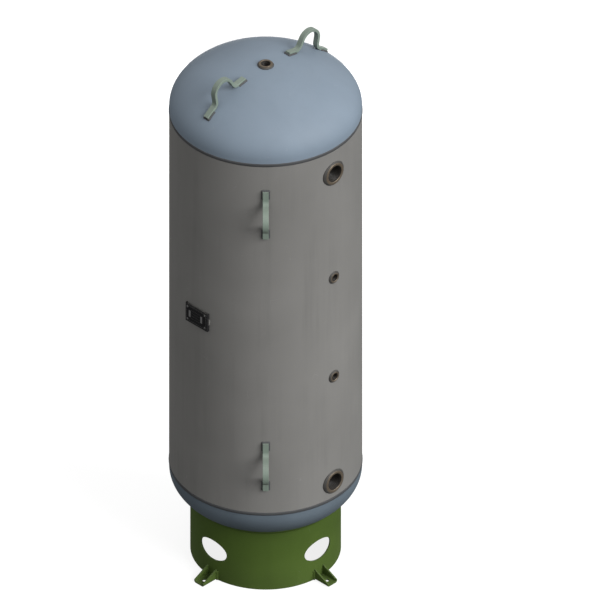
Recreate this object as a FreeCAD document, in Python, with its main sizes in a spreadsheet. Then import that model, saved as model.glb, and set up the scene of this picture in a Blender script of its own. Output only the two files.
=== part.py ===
import FreeCAD, Part
import math
import os
import Sketcher
from FreeCAD import Placement, Rotation, Vector

# Vertical air receiver: a rolled shell between two domed heads on a round skirt.
# Millimetres. The vessel's axis is Z and the floor is Z = 0. The side couplings face +X,
# the data plate faces -Y and the side lugs sit half way between them.

# Driving dimensions, each an independent size of the vessel.
driving = {
    # shell, a rolled sheet with one long seam
    "shell_radius": 304.8,
    "shell_wall": 4.8,
    "shell_length": 1340,
    "shell_bottom": 342,
    "seam_gap": 3,
    # domed heads with a lip that slides into the shell
    "head_rise": 154.8,
    "head_wall": 4.8,
    "head_flange": 16,
    "lip_length": 19,
    "lip_fit": 0.3,
    "root_gap": 1.5,
    # weld beads on the plate seams
    "cap_reach": 2.5,
    "cap_height": 1.6,
    "cap_round": 1.2,
    "weld_fit": 0.05,
    # base skirt
    "skirt_inset": 66.8,
    "skirt_wall": 4.8,
    "skirt_fit": 0.3,
    "skirt_weld_leg": 7,
    "skirt_seam_angle": -45,
    "hand_hole_width": 114,
    "hand_hole_height": 74,
    "hand_hole_level": 106,
    # foot clips, folded from flat bar
    "foot_reach": 60,
    "foot_width": 42,
    "foot_wall": 4.8,
    "foot_bend": 2.5,
    "foot_fit": 0.2,
    "foot_nose": 11,
    "foot_rise": 38,
    "foot_land": 4,
    "anchor_reach": 35,
    "anchor_hole": 7.15,
    "foot_weld_leg": 4,
    # lifting lugs, bent from flat bar
    "bar_width": 19,
    "bar_thick": 9.5,
    "bar_edge": 1,
    "lug_height": 74,
    "lug_crest_radius": 36.75,
    "lug_bend_radius": 20,
    "lug_leg_angle": 80,
    "lug_foot": 31,
    "lug_inset": 123.3,
    "lug_outer_spread": 68.5,
    "lug_inner_spread": 69.5,
    "lug_fit": 0.2,
    "upper_lug_drop": 185,
    "lower_lug_rise": 183,
    "lug_weld_leg": 4.5,
    "lug_weld_depth": 1.5,
    # half couplings: outside radius, bore radius, length and how far each stands proud
    "main_port_radius": 38.1,
    "main_port_bore": 28.2,
    "main_port_length": 43,
    "main_port_proud": 5.5,
    "gauge_port_radius": 17.5,
    "gauge_port_bore": 11.7,
    "gauge_port_length": 25.4,
    "gauge_port_proud": 5,
    "top_port_radius": 22.2,
    "top_port_bore": 14.7,
    "top_port_length": 30,
    "top_port_proud": 7,
    "port_fit": 0.2,
    "port_edge": 1.2,
    "port_mouth": 2,
    "port_weld_leg": 4.5,
    "port_weld_depth": 4,
    "upper_main_drop": 89,
    "lower_main_rise": 61.5,
    "upper_gauge_drop": 491,
    "lower_gauge_drop": 873,
    # data plate on its bracket
    "plate_level": 1040,
    "bracket_width": 98,
    "bracket_height": 68,
    "bracket_wall": 1.5,
    "bracket_bend": 1.5,
    "bracket_standoff": 5,
    "bracket_fit": 0.2,
    "plate_margin": 4,
    "plate_thick": 0.8,
    "plate_corner": 3,
    "rivet_inset": 7,
    "rivet_radius": 1.6,
    "rivet_head": 3.4,
    "rivet_dome": 1.4,
    "rivet_round": 1.2,
    "rivet_tail": 2.2,
    "rivet_bulge": 0.9,
    "rivet_fit": 0.1,
    "bracket_weld_length": 22,
    "bracket_weld_leg": 3,
}

# Sizes that follow from the driving ones.
derived = {
    "shell_top": "shell_bottom + shell_length",
    "shell_bore": "shell_radius - shell_wall",
    "joggle": "shell_wall + lip_fit",
    "shoulder": "root_gap + joggle",
    "dome_base": "shoulder + head_flange",
    "head_inner": "shell_radius - head_wall",
    "head_sink": "head_rise - head_wall",
    "lip_radius": "shell_radius - joggle",
    "lip_bore": "lip_radius - head_wall",
    "joggle_inset": "head_wall * tan(22.5)",
    "top_dome": "shell_top + dome_base",
    "bottom_dome": "shell_bottom - dome_base",
    "skirt_radius": "shell_radius - skirt_inset",
    "skirt_bore": "skirt_radius - skirt_wall",
    "skirt_height": "bottom_dome - head_rise * sqrt(1 - (skirt_bore / shell_radius)^2) - skirt_fit",
    "skirt_weld_top": "skirt_height + skirt_wall + 2 * skirt_weld_leg",
    "foot_seat": "skirt_radius + foot_fit",
    "foot_tip": "skirt_radius + foot_reach",
    "anchor_circle": "skirt_radius + anchor_reach",
    "foot_outer_bend": "foot_bend + foot_wall",
    "lug_middle": "shell_radius - lug_inset",
    "lug_outer_foot": "lug_middle + lug_outer_spread",
    "lug_inner_foot": "lug_middle - lug_inner_spread",
    "crest_rise": "lug_height - bar_thick / 2 - lug_crest_radius + lug_crest_radius / cos(lug_leg_angle)",
    "side_knee": "(crest_rise - bar_thick / 2) / tan(lug_leg_angle)",
    "side_end": "side_knee + lug_bend_radius * tan(lug_leg_angle / 2) + lug_foot",
    "side_seat": "shell_radius + lug_fit",
    "upper_lug_level": "shell_top - upper_lug_drop",
    "lower_lug_level": "shell_bottom + lower_lug_rise",
    "upper_main_level": "shell_top - upper_main_drop",
    "lower_main_level": "shell_bottom + lower_main_rise",
    "upper_gauge_level": "shell_top - upper_gauge_drop",
    "lower_gauge_level": "shell_top - lower_gauge_drop",
    "top_apex": "top_dome + head_rise",
    "bottom_apex": "bottom_dome - head_rise",
    "lug_weld_foot": "lug_weld_leg + lug_weld_depth",
    "port_weld_root": "port_weld_leg + port_weld_depth",
    "port_weld_x": "shell_radius - port_weld_depth",
    "bracket_face": "shell_radius + bracket_standoff",
    "bracket_back": "bracket_face - bracket_wall",
    "bracket_edge": "sqrt(shell_radius^2 - bracket_width^2 / 4)",
    "bracket_root": "bracket_edge - bracket_standoff",
    "plate_width": "bracket_width - 2 * plate_margin",
    "plate_height": "bracket_height - 2 * plate_margin",
    "rivet_across": "plate_width / 2 - rivet_inset",
    "rivet_along": "plate_height / 2 - rivet_inset",
}

# Head lugs, in the plane of a lug: X runs outward from the vessel's axis and Z up from the
# base of the dome. The crest stands square to the dome at the lug's middle, and each foot
# lies along the dome's tangent where it rests.
dome_slope = "atan(head_rise * {0} / (shell_radius * sqrt(shell_radius^2 - {0}^2))) / 1 deg"
dome_height = "head_rise * sqrt(1 - ({0} / shell_radius)^2)"
derived["middle_slope"] = dome_slope.format("lug_middle")
derived["crest_x"] = "lug_middle + crest_rise * sin(middle_slope)"
derived["crest_z"] = dome_height.format("lug_middle") + " + lug_fit + crest_rise * cos(middle_slope)"
for foot, sign in (("outer", 1), ("inner", -1)):
    radius = "lug_%s_foot" % foot
    derived[foot + "_slope"] = dome_slope.format(radius)
    along = {"foot": foot, "radius": radius, "height": dome_height.format(radius), "sign": sign}
    formulas = {
        "seat_x": "{radius} + lug_fit * sin({foot}_slope)",
        "seat_z": "{height} + lug_fit * cos({foot}_slope)",
        "line_x": "{foot}_seat_x + bar_thick / 2 * sin({foot}_slope)",
        "line_z": "{foot}_seat_z + bar_thick / 2 * cos({foot}_slope)",
        "end_x": "{foot}_line_x + {sign} * lug_foot / 2 * cos({foot}_slope)",
        "end_z": "{foot}_line_z - {sign} * lug_foot / 2 * sin({foot}_slope)",
        "lean": "lug_leg_angle + {sign} * middle_slope",
        "leg": "((crest_x - {foot}_line_x) * sin({foot}_slope)"
               " + (crest_z - {foot}_line_z) * cos({foot}_slope))"
               " / sin({foot}_lean - {sign} * {foot}_slope)",
        "knee_x": "crest_x + {sign} * {foot}_leg * cos({foot}_lean)",
        "knee_z": "crest_z - {foot}_leg * sin({foot}_lean)",
    }
    for name, formula in formulas.items():
        derived["%s_%s" % (foot, name)] = formula.format(**along)

on_axis = 1e-9    # a sketch point closer than this lies on the axis
least_cut = 1e-3  # cubic millimetres that a cut must remove

doc = FreeCAD.newDocument("air_receiver")
sheet = doc.addObject("Spreadsheet::Sheet", "dim")
for row, (alias, content) in enumerate(list(driving.items()) + list(derived.items()), start=1):
    sheet.set("A%d" % row, alias)
    sheet.set("B%d" % row, str(content) if alias in driving else "=" + content)
    sheet.setAlias("B%d" % row, alias)
doc.recompute()


def worth(text):
    """Present value of an expression such as dim.shell_radius."""
    value = sheet.evalExpression(text)
    return float(getattr(value, "Value", value))


def new_body(label):
    return doc.addObject("PartDesign::Body", label)


def origin_part(body, role):
    """One of the body's own origin planes or axes."""
    return next(part for part in body.Origin.OriginFeatures if part.Role == role)


def new_sketch(body, name, role, shift=None, turn=None):
    """Sketch on an origin plane, shifted by expressions and turned about one of its own axes."""
    sketch = body.newObject("Sketcher::SketchObject", body.Name + "_" + name)
    sketch.AttachmentSupport = [(origin_part(body, role), "")]
    sketch.MapMode = "FlatFace"
    if turn:
        sketch.AttachmentOffset = Placement(Vector(0, 0, 0), Rotation(turn[0], worth(turn[1])))
        sketch.setExpression("AttachmentOffset.Rotation.Angle", turn[1])
    for axis, text in (shift or {}).items():
        sketch.setExpression("AttachmentOffset.Base." + axis, text)
    return sketch


def pin(sketch, geometry, point, place):
    """Hold a sketch point at a pair of expressions measured from the sketch's origin."""
    for kind, text, axis in (("DistanceX", place[0], -2), ("DistanceY", place[1], -1)):
        value = worth(text)
        if abs(value) < on_axis:
            sketch.addConstraint(Sketcher.Constraint("PointOnObject", geometry, point, axis))
        elif value > 0:
            rule = sketch.addConstraint(Sketcher.Constraint(kind, -1, 1, geometry, point, value))
            sketch.setExpression("Constraints[%d]" % rule, text)
        else:
            rule = sketch.addConstraint(Sketcher.Constraint(kind, geometry, point, -1, 1, -value))
            sketch.setExpression("Constraints[%d]" % rule, "-(%s)" % text)


def rounded_chain(sketch, corners, closed=True):
    """Straight runs through corners (x, y, radius), each corner rounded if it has a radius."""
    count = len(corners)
    spots = [Vector(worth(corner[0]), worth(corner[1]), 0) for corner in corners]
    radii = [worth(corner[2]) if len(corner) > 2 else 0 for corner in corners]
    arcs = {}
    leave = list(spots)
    arrive = list(spots)
    for k in range(count):
        if not radii[k]:
            continue
        back = (spots[k - 1] - spots[k]).normalize()
        ahead = (spots[(k + 1) % count] - spots[k]).normalize()
        half = back.getAngle(ahead) / 2
        arrive[k] = spots[k] + back * (radii[k] / math.tan(half))
        leave[k] = spots[k] + ahead * (radii[k] / math.tan(half))
        centre = spots[k] + (back + ahead).normalize() * (radii[k] / math.sin(half))
        left_turn = back.cross(ahead).z < 0
        first, last = (arrive[k], leave[k]) if left_turn else (leave[k], arrive[k])
        start = math.atan2(first.y - centre.y, first.x - centre.x)
        end = math.atan2(last.y - centre.y, last.x - centre.x)
        circle = Part.Circle(centre, Vector(0, 0, 1), radii[k])
        arcs[k] = (sketch.addGeometry(Part.ArcOfCircle(circle, start, end)), left_turn)
    runs = count if closed else count - 1
    lines = [
        sketch.addGeometry(Part.LineSegment(leave[k], arrive[(k + 1) % count]))
        for k in range(runs)
    ]
    for k in range(count):
        before = lines[k - 1] if closed or k > 0 else None
        after = lines[k] if k < runs else None
        if k in arcs:
            arc, left_turn = arcs[k]
            entry, way_out = (1, 2) if left_turn else (2, 1)
            sketch.addConstraint(Sketcher.Constraint("Tangent", before, 2, arc, entry))
            sketch.addConstraint(Sketcher.Constraint("Tangent", arc, way_out, after, 1))
            rule = sketch.addConstraint(Sketcher.Constraint("Radius", arc, radii[k]))
            sketch.setExpression("Constraints[%d]" % rule, corners[k][2])
            vertex = sketch.addGeometry(Part.Point(spots[k]), True)
            pin(sketch, vertex, 1, corners[k])
            sketch.addConstraint(Sketcher.Constraint("PointOnObject", vertex, 1, before))
            sketch.addConstraint(Sketcher.Constraint("PointOnObject", vertex, 1, after))
        elif before is None:
            pin(sketch, after, 1, corners[k])
        else:
            if after is not None:
                sketch.addConstraint(Sketcher.Constraint("Coincident", before, 2, after, 1))
            pin(sketch, before, 2, corners[k])


def circle(sketch, x, y, radius):
    """Circle about a pair of expressions."""
    middle = Vector(worth(x), worth(y), 0)
    ring = sketch.addGeometry(Part.Circle(middle, Vector(0, 0, 1), worth(radius)))
    pin(sketch, ring, 3, (x, y))
    rule = sketch.addConstraint(Sketcher.Constraint("Radius", ring, worth(radius)))
    sketch.setExpression("Constraints[%d]" % rule, radius)


def oval(sketch, x, y, across, along, quarter=False):
    """Ellipse with half axes across and along, or only its upper right quarter."""
    centre = Vector(worth(x), worth(y), 0)
    reach = centre + Vector(worth(across), 0, 0)
    crown = centre + Vector(0, worth(along), 0)
    shape = Part.Ellipse(reach, crown, centre)
    curve = sketch.addGeometry(Part.ArcOfEllipse(shape, 0, math.pi / 2) if quarter else shape)
    sketch.exposeInternalGeometry(curve)
    pin(sketch, curve, 3, (x, y))
    pin(sketch, curve + 1, 1, (across if worth(x) == 0 else x + " + " + across, y))
    rule = sketch.addConstraint(
        Sketcher.Constraint("Distance", curve + 2, 1, curve + 2, 2, 2 * worth(along))
    )
    sketch.setExpression("Constraints[%d]" % rule, "2 * (%s)" % along)
    return curve


def feature(body, kind, sketch, name, **settings):
    """PartDesign feature on a sketch; settings that are text are bound as expressions."""
    made = body.newObject("PartDesign::" + kind, body.Name + "_" + name)
    made.Profile = sketch
    for key, value in settings.items():
        if isinstance(value, str) and key in ("Length", "Length2", "Angle"):
            made.setExpression(key, value)
        else:
            setattr(made, key, value)
    sketch.Visibility = False
    doc.recompute()
    return made


def revolve(body, sketch, name="turned"):
    return feature(body, "Revolution", sketch, name, ReferenceAxis=(sketch, ["V_Axis"]), Angle="360")


def extrude(body, sketch, length, name="pad", **settings):
    return feature(body, "Pad", sketch, name, Length=length, **settings)


def cut_through(body, sketch, name="cut", **settings):
    """Pocket that must take material away."""
    before = body.Shape.Volume
    made = feature(body, "Pocket", sketch, name, **settings)
    if body.Shape.Volume > before - least_cut:
        raise RuntimeError(made.Name + " removes nothing")
    return made


def around(body, originals, name, count):
    """Copies of features spread evenly round the body's Z axis."""
    ring = body.newObject("PartDesign::PolarPattern", body.Name + "_" + name)
    ring.Originals = originals
    ring.Axis = (origin_part(body, "Z_Axis"), [""])
    ring.Angle = 360
    ring.Occurrences = count
    body.Tip = ring
    doc.recompute()
    return ring


def place(thing, x="0", y="0", z="0", rotation=None):
    """Move a finished object; its offsets are expressions."""
    thing.Placement = Placement(Vector(0, 0, 0), rotation or Rotation())
    for axis, text in (("x", x), ("y", y), ("z", z)):
        if text != "0":
            thing.setExpression("Placement.Base." + axis, text)


def primitive(kind, name, **sizes):
    """Part primitive with sizes bound to expressions."""
    made = doc.addObject("Part::" + kind, name)
    for key, text in sizes.items():
        made.setExpression(key, text)
    return made


def trimmed(label, blank, tools):
    """Blank with the bodies that it lies against taken out of it."""
    tool = tools[0]
    if len(tools) > 1:
        tool = doc.addObject("Part::MultiFuse", label + "_tools")
        tool.Shapes = tools
    made = doc.addObject("Part::Cut", label)
    made.Base = blank
    made.Tool = tool
    return made


about_x = Vector(1, 0, 0)
about_y = Vector(0, 1, 0)
about_z = Vector(0, 0, 1)
upside_down = Rotation(about_x, 180)
nodes = []

# Solid forms of the outside surfaces, used only to fit the welds to them.
shell_form = primitive(
    "Cylinder", "shell_form", Radius="dim.shell_radius + dim.weld_fit", Height="dim.shell_length"
)
place(shell_form, z="dim.shell_bottom")
dome_form = primitive(
    "Ellipsoid",
    "dome_form",
    Radius1="dim.head_rise + dim.weld_fit",
    Radius2="dim.shell_radius + dim.weld_fit",
    Radius3="dim.shell_radius + dim.weld_fit",
)
place(dome_form, z="dim.top_dome")
sump_form = primitive(
    "Ellipsoid",
    "sump_form",
    Radius1="dim.head_rise + dim.weld_fit",
    Radius2="dim.shell_radius + dim.weld_fit",
    Radius3="dim.shell_radius + dim.weld_fit",
)
place(sump_form, z="dim.bottom_dome")
skirt_form = primitive(
    "Cylinder", "skirt_form", Radius="dim.skirt_radius + dim.weld_fit", Height="dim.skirt_height"
)

# Side couplings: name, size family and level up the shell.
side_ports = (
    ("upper_main_coupling", "main_port", "dim.upper_main_level"),
    ("lower_main_coupling", "main_port", "dim.lower_main_level"),
    ("upper_gauge_coupling", "gauge_port", "dim.upper_gauge_level"),
    ("lower_gauge_coupling", "gauge_port", "dim.lower_gauge_level"),
)


def make_shell():
    """Rolled sheet, open along its seam at the back, with a hole for each side coupling."""
    body = new_body("shell")
    ring = new_sketch(body, "ring", "XY_Plane")
    circle(ring, "0", "0", "dim.shell_radius")
    circle(ring, "0", "0", "dim.shell_bore")
    extrude(body, ring, "dim.shell_length")
    gap = new_sketch(body, "gap", "XY_Plane")
    rounded_chain(gap, [
        ("-dim.shell_radius - dim.seam_gap", "-dim.seam_gap / 2"),
        ("-dim.shell_bore + dim.seam_gap", "-dim.seam_gap / 2"),
        ("-dim.shell_bore + dim.seam_gap", "dim.seam_gap / 2"),
        ("-dim.shell_radius - dim.seam_gap", "dim.seam_gap / 2"),
    ])
    cut_through(body, gap, "seam", Type="ThroughAll", Midplane=True)
    holes = new_sketch(body, "holes", "YZ_Plane")
    for label, family, level in side_ports:
        circle(holes, "0", level + " - dim.shell_bottom", "dim.%s_radius + dim.port_fit" % family)
    cut_through(body, holes, "port_holes", Length="dim.shell_radius + dim.shell_wall", Reversed=True)
    place(body, z="dim.shell_bottom")
    nodes.append(body)


def make_shell_seam():
    """Long weld: a root that fills the gap and a low cap outside, flush inside."""
    body = new_body("shell_seam_weld")
    profile = new_sketch(body, "profile", "XY_Plane")
    rounded_chain(profile, [
        ("-dim.shell_bore", "-dim.seam_gap / 2"),
        ("-dim.shell_radius", "-dim.seam_gap / 2"),
        ("-dim.shell_radius", "-dim.seam_gap / 2 - dim.cap_reach"),
        ("-dim.shell_radius - dim.cap_height", "-dim.seam_gap / 2", "dim.cap_round"),
        ("-dim.shell_radius - dim.cap_height", "dim.seam_gap / 2", "dim.cap_round"),
        ("-dim.shell_radius", "dim.seam_gap / 2 + dim.cap_reach"),
        ("-dim.shell_radius", "dim.seam_gap / 2"),
        ("-dim.shell_bore", "dim.seam_gap / 2"),
    ])
    extrude(body, profile, "dim.shell_length - 2 * dim.cap_reach")
    place(body, z="dim.shell_bottom + dim.cap_reach")
    nodes.append(body)


def make_head(label, port, level, rotation):
    """Pressed dome with a straight flange and a lip stepped in to enter the shell."""
    body = new_body(label)
    profile = new_sketch(body, "profile", "XZ_Plane")
    wall = [
        ("dim.shell_radius", "dim.dome_base"),
        ("dim.shell_radius", "dim.shoulder"),
        ("dim.lip_radius", "dim.root_gap"),
        ("dim.lip_radius", "-dim.lip_length"),
        ("dim.lip_bore", "-dim.lip_length"),
        ("dim.lip_bore", "dim.root_gap + dim.joggle_inset"),
        ("dim.head_inner", "dim.shoulder + dim.joggle_inset"),
        ("dim.head_inner", "dim.dome_base"),
    ]
    rounded_chain(profile, wall, closed=False)
    outer = oval(profile, "0", "dim.dome_base", "dim.shell_radius", "dim.head_rise", quarter=True)
    inner = oval(profile, "0", "dim.dome_base", "dim.head_inner", "dim.head_sink", quarter=True)
    crown = profile.addGeometry(Part.LineSegment(
        Vector(0, worth("dim.dome_base + dim.head_sink"), 0),
        Vector(0, worth("dim.dome_base + dim.head_rise"), 0),
    ))
    for curve in (outer, inner):
        profile.addConstraint(Sketcher.Constraint("PointOnObject", curve, 2, -2))
        profile.addConstraint(Sketcher.Constraint("PointOnObject", curve, 1, curve + 1))
    profile.addConstraint(Sketcher.Constraint("Coincident", crown, 1, inner, 2))
    profile.addConstraint(Sketcher.Constraint("Coincident", crown, 2, outer, 2))
    revolve(body, profile)
    hole = new_sketch(body, "hole", "XY_Plane")
    circle(hole, "0", "0", "dim.%s_radius + dim.port_fit" % port)
    cut_through(body, hole, "port_hole", Type="ThroughAll", Midplane=True)
    place(body, z=level, rotation=rotation)
    nodes.append(body)


def make_girth_weld(label, level, rotation):
    """Ring that fills the groove between shell edge and head shoulder, with a low cap."""
    body = new_body(label)
    profile = new_sketch(body, "profile", "XZ_Plane")
    rounded_chain(profile, [
        ("dim.lip_radius", "0"),
        ("dim.shell_radius", "0"),
        ("dim.shell_radius", "-dim.cap_reach"),
        ("dim.shell_radius + dim.cap_height", "0", "dim.cap_round"),
        ("dim.shell_radius + dim.cap_height", "dim.shoulder", "dim.cap_round"),
        ("dim.shell_radius", "dim.shoulder + dim.cap_reach"),
        ("dim.shell_radius", "dim.shoulder"),
        ("dim.lip_radius", "dim.root_gap"),
    ])
    revolve(body, profile)
    place(body, z=level, rotation=rotation)
    nodes.append(body)


def make_skirt():
    """Rolled ring under the bottom head, with four oval hand holes."""
    body = new_body("base_skirt")
    ring = new_sketch(body, "ring", "XY_Plane")
    circle(ring, "0", "0", "dim.skirt_radius")
    circle(ring, "0", "0", "dim.skirt_bore")
    extrude(body, ring, "dim.skirt_height")
    gap = new_sketch(body, "gap", "XY_Plane", turn=(about_z, "dim.skirt_seam_angle"))
    rounded_chain(gap, [
        ("-dim.skirt_radius - dim.seam_gap", "-dim.seam_gap / 2"),
        ("-dim.skirt_bore + dim.seam_gap", "-dim.seam_gap / 2"),
        ("-dim.skirt_bore + dim.seam_gap", "dim.seam_gap / 2"),
        ("-dim.skirt_radius - dim.seam_gap", "dim.seam_gap / 2"),
    ])
    cut_through(body, gap, "seam", Type="ThroughAll", Midplane=True)
    hole = new_sketch(body, "hole", "XZ_Plane")
    oval(hole, "0", "dim.hand_hole_level", "dim.hand_hole_width / 2", "dim.hand_hole_height / 2")
    cut = cut_through(body, hole, "hand_hole", Length="dim.skirt_radius + dim.skirt_wall")
    around(body, [cut], "hand_holes", 4)
    nodes.append(body)


def make_skirt_weld():
    """Fillet between the skirt's top edge and the underside of the bottom head."""
    blank = new_body("skirt_weld_blank")
    profile = new_sketch(blank, "profile", "XZ_Plane")
    rounded_chain(profile, [
        ("dim.skirt_bore", "dim.skirt_height"),
        ("dim.skirt_radius", "dim.skirt_height"),
        ("dim.skirt_radius", "dim.skirt_height - dim.skirt_weld_leg / 2"),
        ("dim.skirt_radius + dim.skirt_weld_leg", "dim.skirt_height + dim.skirt_weld_leg"),
        ("dim.skirt_radius + dim.skirt_weld_leg", "dim.skirt_weld_top"),
        ("dim.skirt_bore", "dim.skirt_weld_top"),
    ])
    revolve(blank, profile)
    nodes.append(trimmed("skirt_weld", blank, [sump_form]))


def make_skirt_seam():
    """Upright weld that closes the rolled skirt."""
    body = new_body("skirt_seam_weld")
    profile = new_sketch(body, "profile", "XY_Plane", turn=(about_z, "dim.skirt_seam_angle"))
    rounded_chain(profile, [
        ("-dim.skirt_bore", "-dim.seam_gap / 2"),
        ("-dim.skirt_radius", "-dim.seam_gap / 2"),
        ("-dim.skirt_radius", "-dim.seam_gap / 2 - dim.cap_reach"),
        ("-dim.skirt_radius - dim.cap_height", "-dim.seam_gap / 2", "dim.cap_round"),
        ("-dim.skirt_radius - dim.cap_height", "dim.seam_gap / 2", "dim.cap_round"),
        ("-dim.skirt_radius", "dim.seam_gap / 2 + dim.cap_reach"),
        ("-dim.skirt_radius", "dim.seam_gap / 2"),
        ("-dim.skirt_bore", "dim.seam_gap / 2"),
    ])
    extrude(body, profile, "dim.skirt_height - dim.skirt_weld_leg")
    nodes.append(body)


def make_foot(label, angle):
    """Clip folded from one strip: base plate, two sloping gussets and a bolt hole."""
    body = new_body(label)
    section = new_sketch(body, "section", "YZ_Plane")
    half = "dim.foot_width / 2"
    inside = "dim.foot_width / 2 - dim.foot_wall"
    rounded_chain(section, [
        ("-" + half, "dim.foot_rise"),
        ("-" + half, "0", "dim.foot_outer_bend"),
        (half, "0", "dim.foot_outer_bend"),
        (half, "dim.foot_rise"),
        (inside, "dim.foot_rise"),
        (inside, "dim.foot_wall", "dim.foot_bend"),
        ("-(%s)" % inside, "dim.foot_wall", "dim.foot_bend"),
        ("-(%s)" % inside, "dim.foot_rise"),
    ])
    extrude(body, section, "dim.foot_tip", "channel")
    slope = new_sketch(body, "slope", "XZ_Plane")
    rounded_chain(slope, [
        ("dim.foot_seat + dim.foot_land", "dim.foot_rise"),
        ("dim.foot_tip", "dim.foot_nose"),
        ("dim.foot_tip", "dim.foot_rise"),
    ])
    cut_through(body, slope, "gussets", Type="ThroughAll", Midplane=True)
    seat = new_sketch(body, "seat", "XY_Plane")
    circle(seat, "0", "0", "dim.foot_seat")
    cut_through(body, seat, "cope", Type="ThroughAll", Midplane=True)
    bolt = new_sketch(body, "bolt", "XY_Plane")
    circle(bolt, "dim.anchor_circle", "0", "dim.anchor_hole")
    cut_through(body, bolt, "anchor_hole", Type="ThroughAll", Midplane=True)
    place(body, rotation=Rotation(about_z, angle))
    nodes.append(body)


def make_foot_welds(label, angle):
    """Upright fillets where a clip's two gussets meet the skirt."""
    blank = new_body(label + "_blank")
    gusset = "dim.foot_width / 2"
    toe = "dim.foot_width / 2 + 2 * dim.foot_weld_leg"
    for name, side in (("near", "-"), ("far", "")):
        profile = new_sketch(blank, name, "XY_Plane")
        rounded_chain(profile, [
            ("dim.skirt_radius - dim.foot_weld_leg", side + "(%s)" % gusset),
            ("dim.foot_seat + dim.foot_weld_leg", side + "(%s)" % gusset),
            ("dim.skirt_radius - dim.foot_weld_leg", side + "(%s)" % toe),
        ])
        extrude(blank, profile, "dim.foot_rise - dim.foot_land", name + "_bead")
    place(blank, rotation=Rotation(about_z, angle))
    nodes.append(trimmed(label, blank, [skirt_form]))


def make_lug(label, ends, slope, rotation, level):
    """Flat bar bent over a round crest, swept along its centre line in the body's XZ plane."""
    outer_end, outer_knee, crest, inner_knee, inner_end = ends
    body = new_body(label)
    path = new_sketch(body, "path", "XZ_Plane")
    rounded_chain(path, [
        outer_end,
        outer_knee + ("dim.lug_bend_radius",),
        crest + ("dim.lug_crest_radius",),
        inner_knee + ("dim.lug_bend_radius",),
        inner_end,
    ], closed=False)
    bar = new_sketch(
        body,
        "bar",
        "YZ_Plane",
        shift={"y": outer_end[1], "z": outer_end[0]},
        turn=(about_x, slope) if slope else None,
    )
    rounded_chain(bar, [
        (across + "dim.bar_width / 2", along + "dim.bar_thick / 2", "dim.bar_edge")
        for across, along in (("", ""), ("-", ""), ("-", "-"), ("", "-"))
    ])
    sweep = body.newObject("PartDesign::AdditivePipe", label + "_bent_bar")
    sweep.Profile = bar
    sweep.Spine = path
    place(body, z=level, rotation=rotation)
    nodes.append(body)
    return body


def lug_weld_blank(name, seat_x, seat_z, slope, outward):
    """Low tapered pad around one foot of a lug, longer on the side of the foot's free end."""
    body = new_body(name)
    plan = new_sketch(body, "plan", "XY_Plane", shift={"z": "-dim.lug_weld_depth"})
    free_end = "%s(dim.lug_foot / 2 + dim.lug_weld_foot)" % outward
    bend_end = "%s(dim.lug_foot / 2)" % ("-" if outward == "" else "")
    side = "(dim.bar_width / 2 + dim.lug_weld_foot)"
    rounded_chain(plan, [
        (free_end, side),
        (bend_end, side),
        (bend_end, "-" + side),
        (free_end, "-" + side),
    ])
    extrude(body, plan, "dim.lug_weld_foot", TaperAngle=-45)
    body.Placement = Placement(Vector(0, 0, 0), Rotation(about_y, 90))
    for key, text in (("Base.x", seat_x), ("Base.z", seat_z), ("Rotation.Angle", slope)):
        body.setExpression("Placement." + key, text)
    return body


def make_lug_welds(label, lug, blanks, surface, level):
    """Fillets round both feet of a lug, fitted to the bar and to the surface below it."""
    pair = doc.addObject("Part::Compound", label + "_blanks")
    pair.Links = blanks
    place(pair, z=level, rotation=lug.Placement.Rotation)
    nodes.append(trimmed(label, pair, [lug, surface]))


def make_head_lug(name, angle):
    """Lug that crosses the top head, its feet formed to lie on the dome."""
    rotation = Rotation(about_z, angle)
    ends = [
        ("dim.%s_%s_x" % (foot, part), "dim.%s_%s_z" % (foot, part))
        for foot, part in (("outer", "end"), ("outer", "knee"))
    ]
    ends.append(("dim.crest_x", "dim.crest_z"))
    ends += [("dim.inner_%s_x" % part, "dim.inner_%s_z" % part) for part in ("knee", "end")]
    lug = make_lug(name, ends, "dim.outer_slope", rotation, "dim.top_dome")
    blanks = [
        lug_weld_blank(name + "_" + foot, "dim.%s_seat_x" % foot, "dim.%s_seat_z" % foot,
                       "dim.%s_slope" % foot, outward)
        for foot, outward in (("outer", ""), ("inner", "-"))
    ]
    make_lug_welds(name + "_welds", lug, blanks, dome_form, "dim.top_dome")


def make_side_lug(name, level):
    """Lug that stands upright on the shell, its feet flat along the shell's length."""
    facing = Vector(1, -1, 0).normalize()
    rotation = Rotation(about_z, facing.cross(about_z), facing, "ZXY")
    foot_level = "dim.side_seat + dim.bar_thick / 2"
    ends = [
        ("dim.side_end", foot_level),
        ("dim.side_knee", foot_level),
        ("0", "dim.side_seat + dim.crest_rise"),
        ("-dim.side_knee", foot_level),
        ("-dim.side_end", foot_level),
    ]
    lug = make_lug(name, ends, None, rotation, level)
    blanks = [
        lug_weld_blank(name + "_" + foot, outward + "(dim.side_end - dim.lug_foot / 2)",
                       "dim.side_seat", "0", outward)
        for foot, outward in (("top", ""), ("bottom", "-"))
    ]
    make_lug_welds(name + "_welds", lug, blanks, shell_form, level)


def make_coupling(label, family, x, z, rotation):
    """Turned half coupling along the body's Z axis, its outer face at the body's origin."""
    body = new_body(label)
    size = "dim." + family
    profile = new_sketch(body, "profile", "XZ_Plane")
    rounded_chain(profile, [
        (size + "_bore", "-%s_length" % size),
        (size + "_radius - dim.port_edge", "-%s_length" % size),
        (size + "_radius", "-%s_length + dim.port_edge" % size),
        (size + "_radius", "-dim.port_edge"),
        (size + "_radius - dim.port_edge", "0"),
        (size + "_bore + dim.port_mouth", "0"),
        (size + "_bore", "-dim.port_mouth"),
    ])
    revolve(body, profile)
    place(body, x=x, z=z, rotation=rotation)
    nodes.append(body)


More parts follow.
